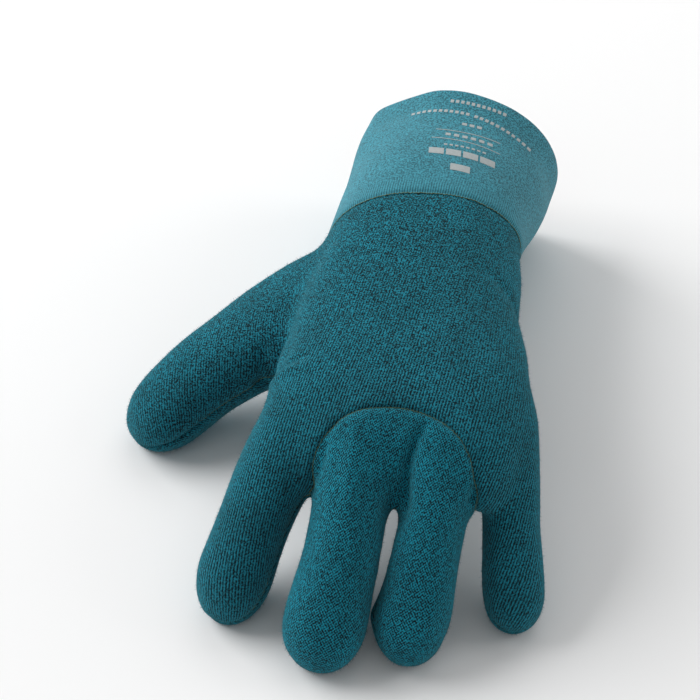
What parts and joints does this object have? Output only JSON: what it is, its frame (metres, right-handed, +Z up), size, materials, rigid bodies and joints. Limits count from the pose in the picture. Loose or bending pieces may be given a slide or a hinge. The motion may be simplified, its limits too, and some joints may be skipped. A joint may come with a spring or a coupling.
{
  "type": "diving glove",
  "caption": "Neoprene diving glove lying palm down, turned with its plush lining outwards, with a smooth cuff and a seamed knuckle panel.",
  "frame": {"origin": "middle of the bounding box, on the surface that the glove lies on", "axes": "+Y from the fingertips to the cuff, +Z up out of the back of the hand, +X towards the little finger"},
  "size_m": [0.1742, 0.265, 0.081],
  "materials": {
    "smooth_jersey": "smooth teal knit over neoprene",
    "plush_lining": "short teal plush pile on knit over neoprene",
    "black_neoprene": "matt black neoprene face, now the inside",
    "seam_thread": "fine olive sewing thread"
  },
  "bodies": {
    "root": {"cuff": "smooth_jersey", "hand_back_panel": "plush_lining", "knuckle_panel": "plush_lining", "palm_panel": "plush_lining"}
  },
  "joints": []
}
